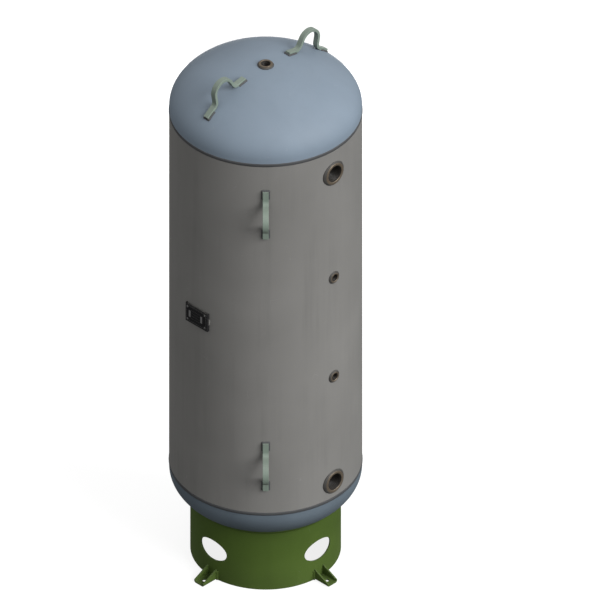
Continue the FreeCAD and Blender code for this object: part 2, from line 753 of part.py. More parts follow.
def make_coupling_weld(label, family, surface, x, z, rotation):
    """Ring fillet round a coupling, fitted to the surface that the coupling passes through."""
    size = "dim." + family
    cone = primitive(
        "Cone",
        label + "_cone",
        Radius1=size + "_radius + dim.port_weld_root",
        Radius2=size + "_radius",
        Height="dim.port_weld_root",
    )
    core = primitive(
        "Cylinder", label + "_core", Radius=size + "_radius", Height="2 * dim.port_weld_root"
    )
    place(cone, x=x, z=z, rotation=rotation)
    place(core, x=x, z=z, rotation=rotation)
    nodes.append(trimmed(label, cone, [core, surface]))


def make_bracket():
    """Sheet bracket for the data plate, its two sides folded back and coped to the shell."""
    body = new_body("plate_bracket")
    section = new_sketch(body, "section", "XY_Plane")
    half = "dim.bracket_width / 2"
    inside = "(dim.bracket_width / 2 - dim.bracket_wall)"
    rounded_chain(section, [
        ("-" + half, "-dim.bracket_root"),
        ("-" + half, "-dim.bracket_face", "dim.bracket_bend + dim.bracket_wall"),
        (half, "-dim.bracket_face", "dim.bracket_bend + dim.bracket_wall"),
        (half, "-dim.bracket_root"),
        (inside, "-dim.bracket_root"),
        (inside, "-dim.bracket_back", "dim.bracket_bend"),
        ("-" + inside, "-dim.bracket_back", "dim.bracket_bend"),
        ("-" + inside, "-dim.bracket_root"),
    ])
    extrude(body, section, "dim.bracket_height", Midplane=True)
    seat = new_sketch(body, "seat", "XY_Plane")
    circle(seat, "0", "0", "dim.shell_radius + dim.bracket_fit")
    cut_through(body, seat, "cope", Type="ThroughAll", Midplane=True)
    holes = new_sketch(body, "holes", "XZ_Plane")
    rivet_holes(holes)
    cut_through(body, holes, "rivet_holes", Type="ThroughAll", Midplane=True)
    place(body, z="dim.plate_level")
    nodes.append(body)


def rivet_holes(sketch):
    """Hole for a rivet near each corner of the data plate."""
    for across in ("", "-"):
        for along in ("", "-"):
            circle(
                sketch,
                across + "dim.rivet_across",
                along + "dim.rivet_along",
                "dim.rivet_radius + dim.rivet_fit",
            )


def make_bracket_welds():
    """Short upright fillets outside the bracket's two sides."""
    blank = new_body("bracket_weld_blank")
    for name, side in (("left", "-"), ("right", "")):
        profile = new_sketch(blank, name, "XY_Plane")
        rounded_chain(profile, [
            (side + "dim.bracket_width / 2", "-dim.bracket_root"),
            (side + "dim.bracket_width / 2", "-dim.bracket_edge - dim.bracket_weld_leg"),
            (side + "(dim.bracket_width / 2 + 2 * dim.bracket_weld_leg)", "-dim.bracket_root"),
        ])
        extrude(blank, profile, "dim.bracket_weld_length", name + "_bead", Midplane=True)
    place(blank, z="dim.plate_level")
    nodes.append(trimmed("bracket_welds", blank, [shell_form]))


def make_data_plate():
    """Thin plate with rounded corners and four rivet holes; its face stays blank."""
    body = new_body("data_plate")
    outline = new_sketch(body, "outline", "XZ_Plane", shift={"z": "dim.bracket_face"})
    rounded_chain(outline, [
        (across + "dim.plate_width / 2", along + "dim.plate_height / 2", "dim.plate_corner")
        for across, along in (("", ""), ("-", ""), ("-", "-"), ("", "-"))
    ])
    rivet_holes(outline)
    extrude(body, outline, "dim.plate_thick")
    place(body, z="dim.plate_level")
    nodes.append(body)


def make_rivets():
    """Four blind rivets through plate and bracket, one at each corner."""
    body = new_body("plate_rivets")
    profile = new_sketch(
        body, "profile", "XY_Plane", shift={"x": "dim.rivet_across", "z": "dim.rivet_along"}
    )
    face = "-dim.bracket_face - dim.plate_thick"
    tail = "-dim.bracket_back + dim.rivet_tail"
    rounded_chain(profile, [
        ("0", face + " - dim.rivet_dome"),
        ("dim.rivet_head", face + " - dim.rivet_dome", "dim.rivet_round"),
        ("dim.rivet_head", face),
        ("dim.rivet_radius", face),
        ("dim.rivet_radius", "-dim.bracket_back"),
        ("dim.rivet_radius + dim.rivet_bulge", "-dim.bracket_back"),
        ("dim.rivet_radius + dim.rivet_bulge", tail, "dim.rivet_bulge"),
        ("0", tail),
    ])
    rivet = revolve(body, profile)
    corners = body.newObject("PartDesign::MultiTransform", "plate_rivets_corners")
    corners.Originals = [rivet]
    steps = []
    for name, role in (("across", "YZ_Plane"), ("along", "XY_Plane")):
        step = doc.addObject("PartDesign::Mirrored", "plate_rivets_" + name)
        step.MirrorPlane = (origin_part(body, role), [""])
        steps.append(step)
    corners.Transformations = steps
    body.Tip = corners
    place(body, z="dim.plate_level")
    nodes.append(body)


make_shell()
make_shell_seam()
make_head("top_head", "top_port", "dim.shell_top", Rotation())
make_head("bottom_head", "gauge_port", "dim.shell_bottom", upside_down)
make_girth_weld("upper_girth_weld", "dim.shell_top", Rotation())
make_girth_weld("lower_girth_weld", "dim.shell_bottom", upside_down)
make_skirt()
make_skirt_seam()
make_skirt_weld()
for direction, angle in (("right", 0), ("rear", 90), ("left", 180), ("front", 270)):
    make_foot(direction + "_foot", angle)
    make_foot_welds(direction + "_foot_welds", angle)
make_head_lug("front_head_lug", 270)
make_head_lug("rear_head_lug", 90)
make_side_lug("upper_side_lug", "dim.upper_lug_level")
make_side_lug("lower_side_lug", "dim.lower_lug_level")
for label, family, level in side_ports:
    outward = Rotation(about_y, 90)
    make_coupling(label, family, "dim.shell_radius + dim.%s_proud" % family, level, outward)
    make_coupling_weld(label + "_weld", family, shell_form, "dim.port_weld_x", level, outward)
make_coupling("top_coupling", "top_port", "0", "dim.top_apex + dim.top_port_proud", Rotation())
make_coupling_weld("top_coupling_weld", "top_port", dome_form, "0",
                   "dim.top_apex - dim.port_weld_depth", Rotation())
make_coupling("drain_coupling", "gauge_port", "0", "dim.bottom_apex - dim.gauge_port_proud",
              upside_down)
make_coupling_weld("drain_coupling_weld", "gauge_port", sump_form, "0",
                   "dim.bottom_apex + dim.port_weld_depth", upside_down)
make_bracket()
make_bracket_welds()
make_data_plate()
make_rivets()

doc.recompute()
for item in doc.Objects:
    if "Invalid" in item.State or "Error" in item.State:
        raise RuntimeError("%s failed: %s" % (item.Name, item.State))
os.makedirs("parts", exist_ok=True)
for node in nodes:
    shape = node.Shape
    if shape.isNull() or not shape.isValid() or not shape.Solids:
        raise RuntimeError(node.Label + " has no sound solid")
    shape.exportStep("parts/%s.step" % node.Label)
    print("%-24s %2d solids %12.0f mm3" % (node.Label, len(shape.Solids), shape.Volume))
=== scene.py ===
import math

import bpy
from mathutils import Matrix, Vector, noise


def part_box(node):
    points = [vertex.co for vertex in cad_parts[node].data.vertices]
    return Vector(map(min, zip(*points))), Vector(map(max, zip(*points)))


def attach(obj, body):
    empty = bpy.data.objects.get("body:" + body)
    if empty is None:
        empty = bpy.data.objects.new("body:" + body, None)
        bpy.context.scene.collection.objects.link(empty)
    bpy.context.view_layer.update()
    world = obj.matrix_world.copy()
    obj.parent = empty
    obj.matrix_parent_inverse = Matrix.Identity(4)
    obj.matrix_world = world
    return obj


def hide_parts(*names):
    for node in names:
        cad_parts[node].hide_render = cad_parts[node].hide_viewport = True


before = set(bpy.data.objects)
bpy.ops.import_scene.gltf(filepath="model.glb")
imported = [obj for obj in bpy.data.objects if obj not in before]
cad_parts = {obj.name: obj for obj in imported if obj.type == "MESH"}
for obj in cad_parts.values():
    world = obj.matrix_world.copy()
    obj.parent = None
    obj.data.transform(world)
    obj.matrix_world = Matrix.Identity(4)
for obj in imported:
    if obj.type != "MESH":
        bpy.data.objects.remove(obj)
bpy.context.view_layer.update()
scene = bpy.context.scene
print("frame loaded:", len(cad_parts), "nodes")


# Sizes read from the frame. Metres, Z up, the vessel's axis on Z.

def reachOf(node, axis):
    # lowest and highest point of a CAD node along x, y or z, to a tenth of a millimetre
    low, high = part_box(node)
    return round(getattr(low, axis), 4), round(getattr(high, axis), 4)


def middleOf(node, axis):
    low, high = reachOf(node, axis)
    return round((low + high) / 2, 4)


def halfOf(node, axis):
    low, high = reachOf(node, axis)
    return round((high - low) / 2, 4)


vessel = {
    "shellRadius": reachOf("shell", "x")[1],
    "flange": 0.0226,        # straight part of each head beyond the shell's end
    "domeRise": 0.1548,
    "skirtRadius": reachOf("base_skirt", "x")[1],
    "skirtHeight": reachOf("base_skirt", "z")[1],
}
shellBottom, shellTop = reachOf("shell", "z")
vessel["topDome"] = round(shellTop + vessel["flange"], 4)  # where each dome's curve begins
vessel["bottomDome"] = round(shellBottom - vessel["flange"], 4)


# Camera and light

viewValues = {
    "azimuth": 45.0,
    "elevation": 35.264,     # a true isometric view
    "frameWidth": 1.893,
    "aim": (0.07664, 0.07664, 0.951),
    "distance": 6.0,
    "clipEnd": 60.0,
}
lightValues = {
    "keyAzimuth": 100.0,
    "keyElevation": 33.0,
    "keyStrength": 3.5,
    "keySpread": 42.0,       # degrees, wide for soft shadows
    "backPower": 30.0,       # a low panel behind the vessel, for the side the camera misses
    "backSize": 1.4,
    "backPlace": (-1.9, 1.9, 0.3),
    "backAim": (0.0, 0.0, 0.75),
    "skyAbove": (0.68, 0.68, 0.68, 1.0),
    "skyBelow": (0.13, 0.13, 0.13, 1.0),
    "horizon": 0.25,         # the sky fades from below to above over this much each way
}


def direction(azimuth, elevation):
    a, e = math.radians(azimuth), math.radians(elevation)
    return Vector((math.sin(a) * math.cos(e), -math.cos(a) * math.cos(e), math.sin(e)))


def addToScene(name, data):
    made = bpy.data.objects.new(name, data)
    scene.collection.objects.link(made)
    return made


def turnAlong(thing, way):
    # cameras and lamps look down their own -Z
    thing.rotation_euler = way.to_track_quat("-Z", "Y").to_euler()


def addCamera(values):
    lens = bpy.data.cameras.new("photoView")
    lens.type = "ORTHO"
    lens.ortho_scale = values["frameWidth"]
    lens.clip_end = values["clipEnd"]
    camera = addToScene("photoView", lens)
    back = direction(values["azimuth"], values["elevation"])
    camera.location = Vector(values["aim"]) + back * values["distance"]
    turnAlong(camera, -back)
    scene.camera = camera


def addKey(values):
    lamp = bpy.data.lights.new("keyLight", "SUN")
    lamp.energy = values["keyStrength"]
    lamp.angle = math.radians(values["keySpread"])
    key = addToScene("keyLight", lamp)
    turnAlong(key, -direction(values["keyAzimuth"], values["keyElevation"]))


def addBackPanel(values):
    lamp = bpy.data.lights.new("backPanel", "AREA")
    lamp.energy = values["backPower"]
    lamp.size = values["backSize"]
    panel = addToScene("backPanel", lamp)
    panel.location = values["backPlace"]
    turnAlong(panel, Vector(values["backAim"]) - panel.location)
    panel.visible_camera = False


def addSky(values):
    sky = bpy.data.worlds.new("studioSky")
    sky.use_nodes = True
    tree = sky.node_tree
    parts = addNode(tree, "ShaderNodeSeparateXYZ")
    plug(tree, addNode(tree, "ShaderNodeTexCoord").outputs["Generated"], parts.inputs[0])
    height = span(tree, parts.outputs["Z"], -values["horizon"], values["horizon"])
    shade = blendColor(tree, height, values["skyBelow"], values["skyAbove"])
    plug(tree, shade, tree.nodes["Background"].inputs["Color"])
    scene.world = sky
    scene.view_settings.view_transform = "Standard"


# Shader tree helpers

def addNode(tree, kind, **settings):
    made = tree.nodes.new(kind)
    for key, value in settings.items():
        setattr(made, key, value)
    return made


def plug(tree, value, socket):
    # a number or colour is set on the socket, anything else is linked to it
    if isinstance(value, bpy.types.NodeSocket):
        tree.links.new(value, socket)
    else:
        socket.default_value = value


def calc(tree, operation, *terms, clamp=False):
    made = addNode(tree, "ShaderNodeMath", operation=operation, use_clamp=clamp)
    for socket, term in zip(made.inputs, terms):
        plug(tree, term, socket)
    return made.outputs[0]


def vectorCalc(tree, operation, *terms):
    made = addNode(tree, "ShaderNodeVectorMath", operation=operation)
    for socket, term in zip(made.inputs, terms):
        plug(tree, term, socket)
    return made.outputs


def grain(tree, vector, scale, detail=3.0, rough=0.55, warp=0.0):
    made = addNode(tree, "ShaderNodeTexNoise")
    plug(tree, vector, made.inputs["Vector"])
    plug(tree, scale, made.inputs["Scale"])
    made.inputs["Detail"].default_value = detail
    made.inputs["Roughness"].default_value = rough
    made.inputs["Distortion"].default_value = warp
    return made.outputs["Fac"]


def span(tree, value, low, high, start=0.0, end=1.0):
    # start where the value is low, end where it is high
    made = addNode(tree, "ShaderNodeMapRange", clamp=True)
    for label, term in (
        ("Value", value), ("From Min", low), ("From Max", high), ("To Min", start), ("To Max", end)
    ):
        plug(tree, term, made.inputs[label])
    return made.outputs["Result"]


def blendColor(tree, amount, first, second, mode="MIX"):
    made = addNode(tree, "ShaderNodeMix", data_type="RGBA", blend_type=mode)
    plug(tree, amount, made.inputs[0])
    plug(tree, first, made.inputs[6])
    plug(tree, second, made.inputs[7])
    return made.outputs[2]


def objectPlace(tree):
    return addNode(tree, "ShaderNodeTexCoord").outputs["Object"]


def surfaceNormal(tree):
    return addNode(tree, "ShaderNodeNewGeometry").outputs["Normal"]


def newGroup(name, inputs, outputs):
    group = bpy.data.node_groups.new(name, "ShaderNodeTree")
    kinds = {"value": "NodeSocketFloat", "color": "NodeSocketColor", "vector": "NodeSocketVector"}
    for label, kind, value in inputs:
        socket = group.interface.new_socket(name=label, in_out="INPUT", socket_type=kinds[kind])
        socket.default_value = value
    for label, kind in outputs:
        group.interface.new_socket(name=label, in_out="OUTPUT", socket_type=kinds[kind])
    start = group.nodes.new("NodeGroupInput")
    end = group.nodes.new("NodeGroupOutput")
    return group, start.outputs, end.inputs


def useGroup(tree, group, **values):
    made = addNode(tree, "ShaderNodeGroup", node_tree=group)
    for label, value in values.items():
        plug(tree, value, made.inputs[label])
    return made.outputs


# Shared effects, each a node group. In its values, edges are where a noise turns on.

def makeOrangePeel():
    # the pebbled skin of sprayed enamel
    values = {"finer": 2.9, "fineShare": 0.35, "coarseShare": 0.65}
    group, given, result = newGroup("orangePeel", [("Scale", "value", 240.0)], [("Height", "value")])
    place = objectPlace(group)
    coarse = grain(group, place, given["Scale"], detail=2.0)
    fine = grain(group, place, calc(group, "MULTIPLY", given["Scale"], values["finer"]), detail=1.0)
    pebbles = calc(group, "MULTIPLY", coarse, values["coarseShare"])
    plug(group, calc(group, "MULTIPLY_ADD", fine, values["fineShare"], pebbles), result["Height"])
    return group


def makeToneDrift():
    # slow change of shade over a panel, from uneven coats
    values = {"patchEdges": (0.3, 0.7)}
    group, given, result = newGroup(
        "toneDrift",
        [("Color", "color", (0.5, 0.5, 0.5, 1.0)), ("Amount", "value", 0.1), ("Scale", "value", 4.0)],
        [("Color", "color"), ("Patch", "value")],
    )
    patch = grain(group, objectPlace(group), given["Scale"], detail=4.0, rough=0.5, warp=0.4)
    spread = span(group, patch, *values["patchEdges"], start=-1.0, end=1.0)
    factor = calc(group, "MULTIPLY_ADD", spread, given["Amount"], 1.0)
    scaled = addNode(group, "ShaderNodeVectorMath", operation="SCALE")
    plug(group, given["Color"], scaled.inputs[0])
    plug(group, factor, scaled.inputs["Scale"])
    plug(group, scaled.outputs[0], result["Color"])
    plug(group, patch, result["Patch"])
    return group


def makeRainAndShadeStreaks():
    # upright streaks that thin out as they run down: partly rain washes, partly painted shade bands
    values = {
        "drawnOut": (1.0, 1.0, 0.045), "lineEdges": (0.5, 0.74),
        "breakScale": 5.0, "breakEdges": (0.34, 0.62),
    }
    group, given, result = newGroup(
        "rainAndShadeStreaks", [("Density", "value", 22.0), ("Amount", "value", 0.3)], [("Mask", "value")]
    )
    place = objectPlace(group)
    drawn = vectorCalc(group, "MULTIPLY", place, values["drawnOut"])[0]
    lines = grain(group, drawn, given["Density"], detail=5.0, rough=0.62)
    lines = span(group, lines, *values["lineEdges"])
    breaks = grain(group, place, values["breakScale"], detail=2.0)
    breaks = span(group, breaks, *values["breakEdges"])
    mask = calc(group, "MULTIPLY", lines, breaks)
    plug(group, calc(group, "MULTIPLY", mask, given["Amount"]), result["Mask"])
    return group


def makeSettledDust():
    # fine dust on what faces up, thicker in patches
    values = {
        "facing": (0.25, 1.0),
        "cloudScale": 9.0, "cloudEdges": (0.35, 0.75), "cloudLeast": 0.35,
        "speckScale": 420.0, "speckEdges": (0.5, 0.72), "speckLeast": 0.75,
    }
    group, given, result = newGroup("settledDust", [("Amount", "value", 0.3)], [("Mask", "value")])
    normal = addNode(group, "ShaderNodeSeparateXYZ")
    plug(group, surfaceNormal(group), normal.inputs[0])
    level = span(group, normal.outputs["Z"], *values["facing"])
    place = objectPlace(group)
    cloud = grain(group, place, values["cloudScale"], detail=5.0, rough=0.6)
    cloud = span(group, cloud, *values["cloudEdges"], start=values["cloudLeast"])
    specks = grain(group, place, values["speckScale"], detail=2.0)
    specks = span(group, specks, *values["speckEdges"], start=values["speckLeast"])
    mask = calc(group, "MULTIPLY", calc(group, "MULTIPLY", level, cloud), specks)
    plug(group, calc(group, "MULTIPLY", mask, given["Amount"]), result["Mask"])
    return group


def makeFloorSplash():
    # dried splashes of wash water, fading with height above the floor
    values = {
        "raggedScale": 16.0, "raggedRise": 0.12, "fullBelow": 0.05,
        "spotScale": 130.0, "spotEdges": (0.45, 0.68), "spotShare": 0.6, "filmShare": 0.4,
    }
    group, given, result = newGroup(
        "floorSplash", [("Height", "value", 0.2), ("Amount", "value", 0.4)], [("Mask", "value")]
    )
    place = objectPlace(group)
    parts = addNode(group, "ShaderNodeSeparateXYZ")
    plug(group, place, parts.inputs[0])
    rise = grain(group, place, values["raggedScale"], detail=4.0)
    ragged = calc(group, "MULTIPLY_ADD", rise, values["raggedRise"], parts.outputs["Z"])
    low = span(group, ragged, values["fullBelow"], given["Height"], start=1.0, end=0.0)
    spots = span(group, grain(group, place, values["spotScale"], rough=0.6), *values["spotEdges"])
    film = calc(group, "MULTIPLY_ADD", spots, values["spotShare"], values["filmShare"])
    mask = calc(group, "MULTIPLY", calc(group, "MULTIPLY", low, film), given["Amount"])
    plug(group, mask, result["Mask"])
    return group


def makeFineScratches():
    # hairline handling marks that run in all directions
    values = {
        "bendScale": 3.0, "bend": (0.22, 0.22, 0.22), "width": 0.006,
        "breakScale": 34.0, "breakEdges": (0.58, 0.68),
    }
    group, given, result = newGroup(
        "fineScratches", [("Scale", "value", 14.0), ("Amount", "value", 0.4)], [("Mask", "value")]
    )
    place = objectPlace(group)
    wobble = addNode(group, "ShaderNodeTexNoise")
    wobble.inputs["Scale"].default_value = values["bendScale"]
    plug(group, place, wobble.inputs["Vector"])
    bent = vectorCalc(group, "MULTIPLY_ADD", wobble.outputs["Color"], values["bend"], place)[0]
    lines = addNode(group, "ShaderNodeTexVoronoi", feature="DISTANCE_TO_EDGE")
    plug(group, bent, lines.inputs["Vector"])
    plug(group, given["Scale"], lines.inputs["Scale"])
    thin = span(group, lines.outputs["Distance"], 0.0, values["width"], start=1.0, end=0.0)
    broken = span(group, grain(group, place, values["breakScale"], detail=4.0), *values["breakEdges"])
    mask = calc(group, "MULTIPLY", calc(group, "MULTIPLY", thin, broken), given["Amount"])
    plug(group, mask, result["Mask"])
    return group


def makeEdgeWear():
    # paint rubbed through along edges, found from how far a rounded normal turns away
    values = {"cornerEdges": (0.8, 0.985), "chipScale": 190.0, "chipEdges": (0.44, 0.6)}
    group, given, result = newGroup(
        "edgeWear", [("Reach", "value", 0.0015), ("Amount", "value", 0.5)], [("Mask", "value")]
    )
    rounded = addNode(group, "ShaderNodeBevel", samples=6)
    plug(group, given["Reach"], rounded.inputs["Radius"])
    turned = vectorCalc(group, "DOT_PRODUCT", rounded.outputs[0], surfaceNormal(group))["Value"]
    corner = span(group, turned, *values["cornerEdges"], start=1.0, end=0.0)
    chips = grain(group, objectPlace(group), values["chipScale"], detail=4.0, rough=0.65)
    mask = calc(group, "MULTIPLY", corner, span(group, chips, *values["chipEdges"]))
    plug(group, calc(group, "MULTIPLY", mask, given["Amount"]), result["Mask"])
    return group


def makeTurningMarks():
    # fine rings left by a lathe tool, about an axis through a given centre
    values = {"unevenScale": 90.0, "sheenEdges": (0.3, 0.7)}
    group, given, result = newGroup(
        "turningMarks",
        [("Centre", "vector", (0, 0, 0)), ("Axis", "vector", (0, 0, 1)), ("Rings", "value", 2400.0)],
        [("Height", "value"), ("Sheen", "value"), ("Reach", "value")],
    )
    offset = vectorCalc(group, "SUBTRACT", objectPlace(group), given["Centre"])[0]
    along = vectorCalc(group, "DOT_PRODUCT", offset, given["Axis"])["Value"]
    across = vectorCalc(group, "CROSS_PRODUCT", offset, given["Axis"])[0]
    reach = vectorCalc(group, "LENGTH", across)["Value"]
    phase = calc(group, "MULTIPLY", calc(group, "ADD", reach, along), given["Rings"])
    ring = calc(group, "MULTIPLY_ADD", calc(group, "SINE", phase), 0.5, 0.5)
    uneven = grain(group, objectPlace(group), values["unevenScale"])
    plug(group, calc(group, "MULTIPLY", ring, uneven), result["Height"])
    plug(group, span(group, uneven, *values["sheenEdges"]), result["Sheen"])
    plug(group, reach, result["Reach"])
    return group


effects = {
    "orangePeel": makeOrangePeel(),
    "toneDrift": makeToneDrift(),
    "rainAndShadeStreaks": makeRainAndShadeStreaks(),
    "settledDust": makeSettledDust(),
    "floorSplash": makeFloorSplash(),
    "fineScratches": makeFineScratches(),
    "edgeWear": makeEdgeWear(),
    "turningMarks": makeTurningMarks(),
}
print("shared effects built:", len(effects))


# Paint finishes

paintValues = {
    "shell": {
        "color": (0.180, 0.177, 0.169, 1.0), "drift": 0.07, "driftScale": 3.0,
        "streak": 0.34, "dust": 0.25, "splash": 0.0, "scratch": 0.25, "wear": 0.35,
        "peel": 0.10, "roughness": 0.46, "specular": 0.4,
    },
    "head": {
        "color": (0.172, 0.217, 0.268, 1.0), "drift": 0.06, "driftScale": 4.5,
        "streak": 0.12, "dust": 0.05, "splash": 0.0, "scratch": 0.25, "wear": 0.35,
        "peel": 0.10, "roughness": 0.54, "specular": 0.3,
    },
    # the bottom head's paint: a darker copy of the head's blue-grey, as painted shade on its downward
    # face
    "sump": {
        "color": (0.098, 0.125, 0.150, 1.0), "drift": 0.10, "driftScale": 6.0,
        "streak": 0.3, "dust": 0.0, "splash": 0.0, "scratch": 0.1, "wear": 0.35,
        "peel": 0.10, "roughness": 0.6, "specular": 0.25,
    },
    "skirt": {
        "color": (0.053, 0.091, 0.014, 1.0), "drift": 0.10, "driftScale": 6.0,
        "streak": 0.18, "dust": 0.05, "splash": 0.05, "scratch": 0.15, "wear": 0.5,
        "peel": 0.12, "roughness": 0.62, "specular": 0.18,
    },
    "lug": {
        "color": (0.165, 0.208, 0.174, 1.0), "drift": 0.08, "driftScale": 12.0,
        "streak": 0.1, "dust": 0.12, "splash": 0.0, "scratch": 0.5, "wear": 0.7,
        "peel": 0.10, "roughness": 0.45, "specular": 0.4,
    },
    "girth": {               # the welds of the girth and the lugs
        "color": (0.056, 0.058, 0.061, 1.0), "drift": 0.12, "driftScale": 9.0,
        "streak": 0.2, "dust": 0.1, "splash": 0.0, "scratch": 0.0, "wear": 0.5,
        "peel": 0.12, "roughness": 0.52, "specular": 0.3,
    },
    "collar": {              # the ring welds of the couplings
        "color": (0.046, 0.044, 0.041, 1.0), "drift": 0.14, "driftScale": 22.0,
        "streak": 0.15, "dust": 0.12, "splash": 0.0, "scratch": 0.0, "wear": 0.5,
        "peel": 0.12, "roughness": 0.5, "specular": 0.35,
    },
    "bracket": {
        "color": (0.015, 0.015, 0.016, 1.0), "drift": 0.06, "driftScale": 14.0,
        "streak": 0.1, "dust": 0.06, "splash": 0.0, "scratch": 0.5, "wear": 0.5,
        "peel": 0.10, "roughness": 0.5, "specular": 0.2,
    },
}
dirtAndShade = {
    "dustColor": (0.38, 0.365, 0.33, 1.0),
    # the streaks' darkening colour, partly rain wash and partly painted shade
    "streakShade": (0.62, 0.62, 0.62, 1.0),
    "splashColor": (0.2, 0.18, 0.14, 1.0),
    "bareColor": (0.3, 0.29, 0.275, 1.0),
    "scratchLift": (0.42, 0.42, 0.41, 1.0),
    "grimeDull": 0.4,        # what each adds to the roughness
    "patchDull": 0.12,
    "streakDull": 0.15,
    "wearMetal": 0.8,
    "wearDepth": -0.6,       # rubbed spots and scratches lie below the paint
    "scratchDepth": -0.8,
    "reliefDistance": 0.0006,
    "softEdge": 0.0006,
}


def newMaterial(name):
    material = bpy.data.materials.new(name)
    material.use_nodes = True
    return material, material.node_tree, material.node_tree.nodes["Principled BSDF"]


def addRelief(tree, shader, height, strength, distance, softEdge=0.0):
    # a shallow relief, over edges that look rounded where softEdge is set
    relief = addNode(tree, "ShaderNodeBump")
    relief.inputs["Strength"].default_value = strength
    relief.inputs["Distance"].default_value = distance
    plug(tree, height, relief.inputs["Height"])
    if softEdge:
        soft = addNode(tree, "ShaderNodeBevel", samples=4)
        soft.inputs["Radius"].default_value = softEdge
        plug(tree, soft.outputs[0], relief.inputs["Normal"])
    plug(tree, relief.outputs[0], shader.inputs["Normal"])


def paintFinish(name, values):
    material, tree, shader = newMaterial(name)
    tone = useGroup(tree, effects["toneDrift"], Color=values["color"], Amount=values["drift"],
                    Scale=values["driftScale"])
    streaks = useGroup(tree, effects["rainAndShadeStreaks"], Amount=values["streak"])["Mask"]
    dust = useGroup(tree, effects["settledDust"], Amount=values["dust"])["Mask"]
    scratch = useGroup(tree, effects["fineScratches"], Amount=values["scratch"])["Mask"]
    wear = useGroup(tree, effects["edgeWear"], Amount=values["wear"])["Mask"]
    # painted shade: the streaks darken the paint in upright bands, partly rain washes and partly
    # painted shade
    washedAndShaded = blendColor(tree, streaks, tone["Color"], dirtAndShade["streakShade"], "MULTIPLY")
    color = blendColor(tree, dust, washedAndShaded, dirtAndShade["dustColor"])
    grime = dust
    if values["splash"]:
        splash = useGroup(tree, effects["floorSplash"], Amount=values["splash"])["Mask"]
        color = blendColor(tree, splash, color, dirtAndShade["splashColor"])
        grime = calc(tree, "MAXIMUM", dust, splash)
    color = blendColor(tree, scratch, color, dirtAndShade["scratchLift"])
    color = blendColor(tree, wear, color, dirtAndShade["bareColor"])
    plug(tree, color, shader.inputs["Base Color"])
    dull = calc(tree, "MULTIPLY_ADD", grime, dirtAndShade["grimeDull"], values["roughness"])
    dull = calc(tree, "MULTIPLY_ADD", tone["Patch"], dirtAndShade["patchDull"], dull)
    dull = calc(tree, "MULTIPLY_ADD", streaks, dirtAndShade["streakDull"], dull, clamp=True)
    plug(tree, dull, shader.inputs["Roughness"])
    plug(tree, calc(tree, "MULTIPLY", wear, dirtAndShade["wearMetal"]), shader.inputs["Metallic"])
    peel = useGroup(tree, effects["orangePeel"])["Height"]
    depth = calc(tree, "MULTIPLY_ADD", wear, dirtAndShade["wearDepth"], peel)
    depth = calc(tree, "MULTIPLY_ADD", scratch, dirtAndShade["scratchDepth"], depth)
    addRelief(tree, shader, depth, values["peel"], dirtAndShade["reliefDistance"], dirtAndShade["softEdge"])
    shader.inputs["Specular IOR Level"].default_value = values["specular"]
    return material


paints = {name: paintFinish(name + "Paint", values) for name, values in paintValues.items()}
print("paints mixed:", ", ".join(paints))


# Turned couplings: where they are, their threads and their steel

threadValues = {
    "main": {"bore": 0.0282, "pitch": 0.00221, "depth": 0.0009, "sides": 72},
    "gauge": {"bore": 0.0117, "pitch": 0.00181, "depth": 0.0008, "sides": 48},
    "top": {"bore": 0.0147, "pitch": 0.00221, "depth": 0.0009, "sides": 56},
    "mouth": 0.002,          # plain lip before the first turn
    "skin": 0.00004,         # the thread's root stands this far off the bore
    "fadeIn": 1.5,           # turns
    "ridge": ((0.0, 0.0), (0.1, 0.0), (0.45, 1.0), (0.6, 1.0)),      # share of pitch, share of depth
}
couplingValues = {
    "color": (0.165, 0.134, 0.099, 1.0),
    "stain": (0.080, 0.062, 0.046, 1.0),
    "stainScale": 55.0,
    "stainEdges": (0.46, 0.74),
    # painted shade: the bore and its threads are coloured near-black, as if deep in shadow
    "boreShade": (0.022, 0.019, 0.016, 1.0),
    "boreShadeEdges": (0.0003, 0.0016),    # the painted shade fades over this distance outside the bore
    "wear": 0.7,
    "wornColor": (0.42, 0.39, 0.35, 1.0),
    "cleanMetal": 0.7,
    "stainedMetal": 0.3,
    "roughness": 0.42,
    "stainDull": 0.3,
    "sheenDull": 0.12,
    "specular": 0.25,
    "relief": 0.25,
    "reliefDistance": 0.0002,
    "softEdge": 0.0005,
}
couplings = {
    "upper_main_coupling": {"family": "main", "axis": (1, 0, 0)},
    "lower_main_coupling": {"family": "main", "axis": (1, 0, 0)},
    "upper_gauge_coupling": {"family": "gauge", "axis": (1, 0, 0)},
    "lower_gauge_coupling": {"family": "gauge", "axis": (1, 0, 0)},
    "top_coupling": {"family": "top", "axis": (0, 0, 1)},
    "drain_coupling": {"family": "gauge", "axis": (0, 0, -1)},
}


def pieceTitle(nodeName, suffix):
    # top_coupling and Bead give topCouplingBead
    first, *rest = nodeName.split("_")
    return first + "".join(word.title() for word in rest) + suffix


def placeCoupling(name, coupling):
    # the middle of its open mouth, its length and its outer radius, from its node
    along = "x" if coupling["axis"][0] else "z"
    low, high = reachOf(name, along)
    mouth = high if sum(coupling["axis"]) > 0 else low
    coupling["mouth"] = (mouth, 0, middleOf(name, "z")) if along == "x" else (0, 0, mouth)
    coupling["length"] = round(high - low, 4)
    coupling["radius"] = halfOf(name, "y")


